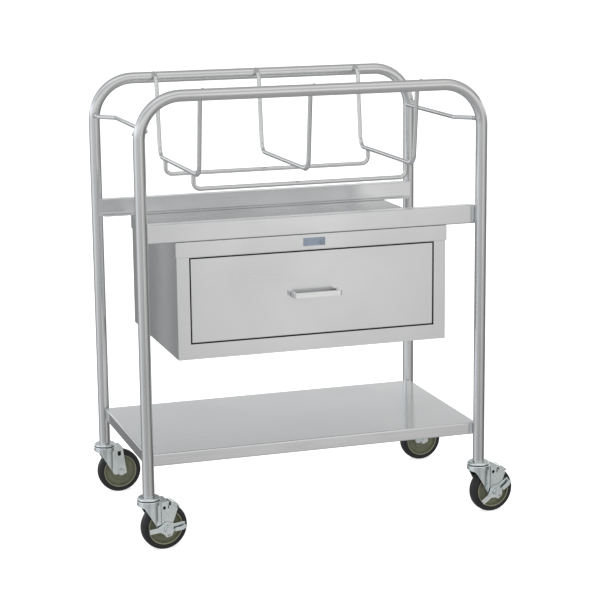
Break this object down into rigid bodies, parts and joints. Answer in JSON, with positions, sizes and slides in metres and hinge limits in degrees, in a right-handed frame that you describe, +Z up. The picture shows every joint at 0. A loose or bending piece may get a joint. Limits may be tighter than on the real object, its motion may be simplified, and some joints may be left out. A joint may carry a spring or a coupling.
{
  "type": "hospital bassinet trolley",
  "caption": "Stainless-steel hospital trolley with a wire cradle for a bassinet tub, a cabinet with one drawer, a lower shelf and swivel casters with side brakes in front.",
  "frame": {"origin": "centre of the lower shelf's top face, midway between the four legs", "axes": "+X along the trolley's length, to the right seen from the drawer side; -Y towards the drawer side; +Z up"},
  "size_m": [0.8705, 0.489, 0.9834],
  "materials": {
    "satin_tube": "satin",
    "satin_sheet": "satin",
    "zinc_plate": "semi-gloss",
    "blue_plate": "satin",
    "stop_rubber": "matte",
    "wheel_core": "matte",
    "tyre_rubber": "matte"
  },
  "bodies": {
    "trolley_frame": {"front_frame_tube": "satin_tube", "rear_frame_tube": "satin_tube", "front_bar": "satin_sheet", "rear_bar": "satin_sheet", "lower_shelf": "satin_sheet", "left_hoop": "satin_tube", "middle_hoop": "satin_tube", "right_hoop": "satin_tube", "front_runner": "satin_tube", "rear_runner": "satin_tube", "left_end_rod": "satin_tube", "right_end_rod": "satin_tube", "cabinet_shell": "satin_sheet", "cabinet_face_frame": "satin_sheet", "cabinet_cover": "satin_sheet", "blank_plate": "blue_plate", "slide_spacers": "zinc_plate", "drawer_bumpers": "stop_rubber", "stem_sleeves": "stop_rubber", "left_slide_outer": "zinc_plate", "right_slide_outer": "zinc_plate", "front_left_stem": "zinc_plate", "front_right_stem": "zinc_plate", "rear_left_stem": "zinc_plate", "rear_right_stem": "zinc_plate"},
    "slide_middles": {"left_slide_middle": "zinc_plate", "right_slide_middle": "zinc_plate"},
    "drawer": {"left_slide_inner": "zinc_plate", "right_slide_inner": "zinc_plate", "drawer_box": "satin_sheet", "drawer_front": "satin_sheet", "drawer_pull": "satin_sheet", "pull_screws": "zinc_plate"},
    "front_left_swivel": {"front_left_fork": "zinc_plate", "front_left_axle": "zinc_plate", "front_left_balls": "zinc_plate", "front_left_brake_bracket": "zinc_plate"},
    "front_left_rolling_wheel": {"front_left_wheel": "wheel_core", "front_left_tyre": "tyre_rubber"},
    "front_left_brake": {"front_left_brake_lever": "zinc_plate"},
    "front_right_swivel": {"front_right_fork": "zinc_plate", "front_right_axle": "zinc_plate", "front_right_balls": "zinc_plate", "front_right_brake_bracket": "zinc_plate"},
    "front_right_rolling_wheel": {"front_right_wheel": "wheel_core", "front_right_tyre": "tyre_rubber"},
    "front_right_brake": {"front_right_brake_lever": "zinc_plate"},
    "rear_left_swivel": {"rear_left_fork": "zinc_plate", "rear_left_axle": "zinc_plate", "rear_left_balls": "zinc_plate"},
    "rear_left_rolling_wheel": {"rear_left_wheel": "wheel_core", "rear_left_tyre": "tyre_rubber"},
    "rear_right_swivel": {"rear_right_fork": "zinc_plate", "rear_right_axle": "zinc_plate", "rear_right_balls": "zinc_plate"},
    "rear_right_rolling_wheel": {"rear_right_wheel": "wheel_core", "rear_right_tyre": "tyre_rubber"}
  },
  "joints": [
    {"name": "drawer_slide", "type": "slide", "parent": "trolley_frame", "child": "drawer", "axis": [0, -1, 0], "range_m": [0, 0.355]},
    {"name": "slide_middles_travel", "type": "slide", "parent": "trolley_frame", "child": "slide_middles", "axis": [0, -1, 0], "range_m": [0, 0.18]},
    {"name": "front_left_swivel_turn", "type": "hinge", "parent": "trolley_frame", "child": "front_left_swivel", "pos_m": [-0.381, -0.2172, -0.096], "axis": [0, 0, 1], "continuous": true},
    {"name": "front_left_wheel_spin", "type": "hinge", "parent": "front_left_swivel", "child": "front_left_rolling_wheel", "pos_m": [-0.34918, -0.21386, -0.1562], "axis": [-0.1045, 0.9945, 0], "continuous": true},
    {"name": "front_left_brake_tilt", "type": "hinge", "parent": "front_left_swivel", "child": "front_left_brake", "pos_m": [-0.34918, -0.21386, -0.1562], "axis": [0.1045, -0.9945, 0], "range_deg": [0, 30]},
    {"name": "front_right_swivel_turn", "type": "hinge", "parent": "trolley_frame", "child": "front_right_swivel", "pos_m": [0.381, -0.2172, -0.096], "axis": [0, 0, 1], "continuous": true},
    {"name": "front_right_wheel_spin", "type": "hinge", "parent": "front_right_swivel", "child": "front_right_rolling_wheel", "pos_m": [0.41282, -0.21386, -0.1562], "axis": [-0.1045, 0.9945, 0], "continuous": true},
    {"name": "front_right_brake_tilt", "type": "hinge", "parent": "front_right_swivel", "child": "front_right_brake", "pos_m": [0.41282, -0.21386, -0.1562], "axis": [0.1045, -0.9945, 0], "range_deg": [-30, 0]},
    {"name": "rear_left_swivel_turn", "type": "hinge", "parent": "trolley_frame", "child": "rear_left_swivel", "pos_m": [-0.381, 0.2172, -0.096], "axis": [0, 0, 1], "continuous": true},
    {"name": "rear_left_wheel_spin", "type": "hinge", "parent": "rear_left_swivel", "child": "rear_left_rolling_wheel", "pos_m": [-0.34902, 0.21832, -0.1562], "axis": [-0.0349, 0.9994, 0], "continuous": true},
    {"name": "rear_right_swivel_turn", "type": "hinge", "parent": "trolley_frame", "child": "rear_right_swivel", "pos_m": [0.381, 0.2172, -0.096], "axis": [0, 0, 1], "continuous": true},
    {"name": "rear_right_wheel_spin", "type": "hinge", "parent": "rear_right_swivel", "child": "rear_right_rolling_wheel", "pos_m": [0.41298, 0.21832, -0.1562], "axis": [-0.0349, 0.9994, 0], "continuous": true}
  ],
  "couplings": [
    {"joint": "slide_middles_travel", "follows": "drawer_slide", "ratio": 0.5}
  ]
}
